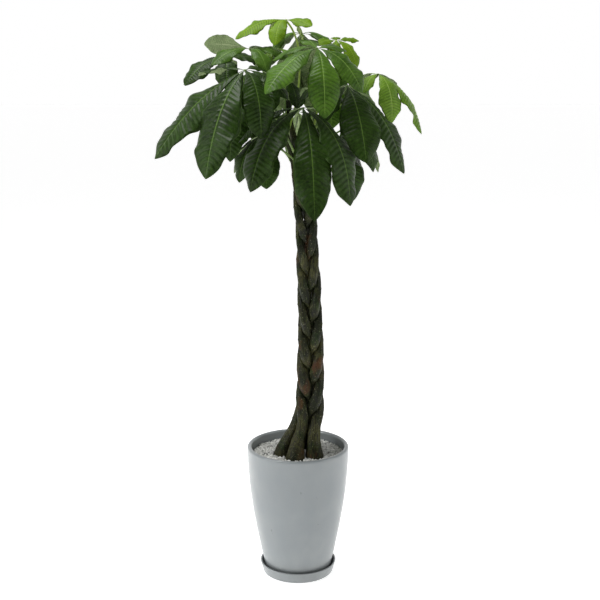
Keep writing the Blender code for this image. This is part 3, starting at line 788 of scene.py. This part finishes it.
def saucer_profile():
    corners = [(0, 0), (SAUCER_FOOT_RADIUS, 0), (SAUCER_RADIUS, SAUCER_HEIGHT),
               (SAUCER_RADIUS - SAUCER_WALL, SAUCER_HEIGHT),
               (SAUCER_FOOT_RADIUS - 0.0045, SAUCER_FLOOR), (0, SAUCER_FLOOR)]
    return rounded(corners, 0.0022, 5)


def glaze_material():
    material, g, shader = new_material("grey_glaze")
    where = g.place()
    broad = g.noise(where, 5, 3, 0.5)
    clouds = g.noise(g.stretched(where, 1, 1, 0.6), 26, 5, 0.6)
    colour = g.mix(g.ramp(broad, 0.35, 0.65), srgb(136, 142, 144), srgb(146, 151, 152))
    colour = g.mix(g.ramp(clouds, 0.35, 0.70, 0.0, 0.35), colour, srgb(130, 138, 142))
    pits = g.ramp(g.noise(where, 300, 2, 0.6), 0.66, 0.80)
    colour = g.mix(g.math("MULTIPLY", pits, 0.08), colour, srgb(108, 110, 108))
    height = g.add("ShaderNodeSeparateXYZ", {"Vector": where}).outputs["Z"]
    # Darker, browner glaze towards the bottom, in patches that follow the clouds.
    low_darkening = g.math("MULTIPLY", g.ramp(height, 0.075, 0.0), g.ramp(clouds, 0.3, 0.7))
    colour = g.mix(g.math("MULTIPLY", low_darkening, 0.18), colour, srgb(122, 118, 108))
    g.feed(shader["Base Color"], colour)
    g.feed(shader["Roughness"], g.ramp(clouds, 0.2, 0.8, 0.26, 0.40))
    g.feed(shader["Normal"], g.bump(clouds, 0.0010, 0.16, g.bump(g.noise(where, 160, 3), 0.0003, 0.12)))
    shader["Coat Weight"].default_value = 0.35
    shader["Coat Roughness"].default_value = 0.12
    return material


def near_stem(x, y, margin):
    """Whether a place on the bed is nearer to a stem than the margin."""
    for k in range(STEMS):
        c = stem_centre(k, GRAVEL_TOP)
        if math.hypot(x - c.x, y - c.y) < stem_radius(k, GRAVEL_TOP) + margin:
            return True
    return False


def build_gravel(stone):
    """Angular chips heaped on the bed, a little higher towards the trunk."""
    rng = random.Random(CHIP_SEED)
    bm = new_bmesh()
    inner = pot_outside(GRAVEL_TOP) - WALL
    made = 0
    while made < CHIPS:
        r, a = inner * math.sqrt(rng.random()), TAU * rng.random()
        size = 0.0021 + 0.0026 * rng.random() ** 1.6
        x, y = r * math.cos(a), r * math.sin(a)
        if r > inner - size * 0.9 or near_stem(x, y, size * 0.7):
            continue
        z = GRAVEL_TOP - 0.001 + 0.0042 * rng.random() + 0.004 * (1 - r / inner)
        chip = bmesh.ops.create_icosphere(bm, subdivisions=1, radius=size)["verts"]
        squash = Vector((0.75 + 0.5 * rng.random(), 0.75 + 0.5 * rng.random(), 0.5 + 0.4 * rng.random()))
        turn = Quaternion((rng.gauss(0, 1), rng.gauss(0, 1), rng.gauss(0, 1), rng.gauss(0, 1))).normalized()
        for vert in chip:
            vert.co *= 0.80 + 0.36 * rng.random()
            vert.co = turn @ (vert.co * squash) + Vector((x, y, z))
        made += 1
    tint = bm.verts.layers.float.new("tint")
    for i, vert in enumerate(bm.verts):
        vert[tint] = math.sin(12.9898 * (i // CHIP_VERTS)) * 43758.5453 % 1.0
    mesh_piece = add_piece("gravel_chips", bm, [stone], "pale_gravel")
    mesh_piece.data.polygons.foreach_set("use_smooth", [False] * len(mesh_piece.data.polygons))


def stone_material():
    material, g, shader = new_material("pale_gravel")
    tint = g.add("ShaderNodeAttribute", attribute_name="tint").outputs["Fac"]
    where = g.place()
    grain = g.noise(where, 520, 4, 0.7)
    colour = g.mix(tint, srgb(190, 191, 187), srgb(252, 252, 248))
    colour = g.mix(g.ramp(grain, 0.35, 0.75, 0.0, 0.35), colour, srgb(104, 102, 96))
    g.feed(shader["Base Color"], colour)
    g.feed(shader["Normal"], g.bump(grain, 0.0006, 0.5))
    shader["Roughness"].default_value = 0.8
    return material


def bed_material():
    material, g, shader = new_material("gravel_bed")
    where = g.place()
    cells = g.add("ShaderNodeTexVoronoi", {"Vector": where, "Scale": 150.0})
    shade = g.math("MULTIPLY", cells.outputs["Distance"], 1.2)
    g.feed(shader["Base Color"], g.mix(shade, srgb(168, 167, 162), srgb(84, 81, 76)))
    g.feed(shader["Normal"], g.bump(cells.outputs["Distance"], 0.004, -0.8))
    shader["Roughness"].default_value = 0.9
    return material


def soil_material():
    material, g, shader = new_material("potting_soil")
    where = g.place()
    crumbs = g.noise(where, 180, 6, 0.7)
    colour = g.mix(g.ramp(crumbs, 0.35, 0.7), srgb(30, 22, 16), srgb(66, 50, 36))
    g.feed(shader["Base Color"], colour)
    g.feed(shader["Normal"], g.bump(crumbs, 0.003, 0.9))
    shader["Roughness"].default_value = 0.95
    return material


# ---------------------------------------------------------------- studio

FLOOR_HALF = 30
CAMERA_LENS = 67.3
CAMERA_SENSOR = 36
CAMERA_PLACE = (0.0056, -2.954, 1.427)
CAMERA_DIP = 12.37
# Name, place, aim, size and watts of each soft lamp
LAMPS = (
    ("soft_left", (-2.8, -1.2, 2.2), (0, 0, 0.8), (1.4, 2.0), 46),
    ("soft_right", (2.8, -0.8, 1.8), (0, 0, 0.7), (1.0, 2.0), 20),
    ("soft_top", (-0.7, 0.1, 3.5), (0, 0, 1.2), (1.3, 1.3), 62),
)


def add_area(name, place, aim, size, power):
    data = bpy.data.lights.new(name, "AREA")
    data.shape = "RECTANGLE"
    data.size, data.size_y = size
    data.energy = power
    lamp = bpy.data.objects.new(name, data)
    lamp.location = place
    lamp.rotation_euler = (Vector(aim) - Vector(place)).to_track_quat("-Z", "Y").to_euler()
    bpy.context.scene.collection.objects.link(lamp)


def build_studio():
    """Pale floor, soft lamps, a bright backdrop and the camera."""
    scene = bpy.context.scene
    bm = new_bmesh()
    bmesh.ops.create_grid(bm, x_segments=1, y_segments=1, size=FLOOR_HALF)
    mesh = bpy.data.meshes.new("studio_floor")
    bm.to_mesh(mesh)
    bm.free()
    material, g, shader = new_material("studio_floor")
    shader["Base Color"].default_value = (0.85, 0.85, 0.85, 1)
    shader["Emission Color"].default_value = (1, 1, 1, 1)
    shader["Emission Strength"].default_value = 0.68
    shader["Roughness"].default_value = 0.7
    mesh.materials.append(material)
    floor = bpy.data.objects.new("studio_floor", mesh)
    scene.collection.objects.link(floor)
    world = bpy.data.worlds.new("studio")
    world.use_nodes = True
    g = Graph(world.node_tree)
    direction = g.add("ShaderNodeTexCoord").outputs["Generated"]
    facing = g.add("ShaderNodeSeparateXYZ", {"Vector": direction}).outputs
    backdrop = g.math("MULTIPLY", g.ramp(facing["Y"], 0.0, 0.5), g.ramp(facing["Z"], 0.75, 0.25))
    background = world.node_tree.nodes["Background"].inputs
    background["Color"].default_value = (1, 1, 1, 1)
    g.feed(background["Strength"], g.ramp(backdrop, 0.0, 1.0, 0.24, 1.0))
    scene.world = world
    for lamp in LAMPS:
        add_area(*lamp)
    scene.view_settings.view_transform = "Standard"
    camera = bpy.data.cameras.new("camera")
    camera.lens, camera.sensor_width = CAMERA_LENS, CAMERA_SENSOR
    eye = bpy.data.objects.new("camera", camera)
    eye.location = CAMERA_PLACE
    eye.rotation_euler = (math.radians(90 - CAMERA_DIP), 0, 0)
    scene.collection.objects.link(eye)
    scene.camera = eye


# ---------------------------------------------------------------- the plant

def dress_node(name, material):
    """Give a CAD node that stays visible its own material."""
    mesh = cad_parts[name].data
    mesh.materials.clear()
    mesh.materials.append(material)


def build():
    glaze = glaze_material()
    add_piece("glazed_pot", turned(pot_profile()), [glaze], "grey_glaze", "pot")
    add_piece("glazed_saucer", turned(saucer_profile()), [glaze], "grey_glaze", "saucer")
    dress_node("soil", soil_material())
    dress_node("gravel", bed_material())
    build_gravel(stone_material())
    bark = bark_material()
    for k in range(STEMS):
        build_stem(k, bark)
    tones = leaf_tones()
    for name, row in LEAVES.items():
        build_leaf(name, row, tones)
    build_studio()


build()
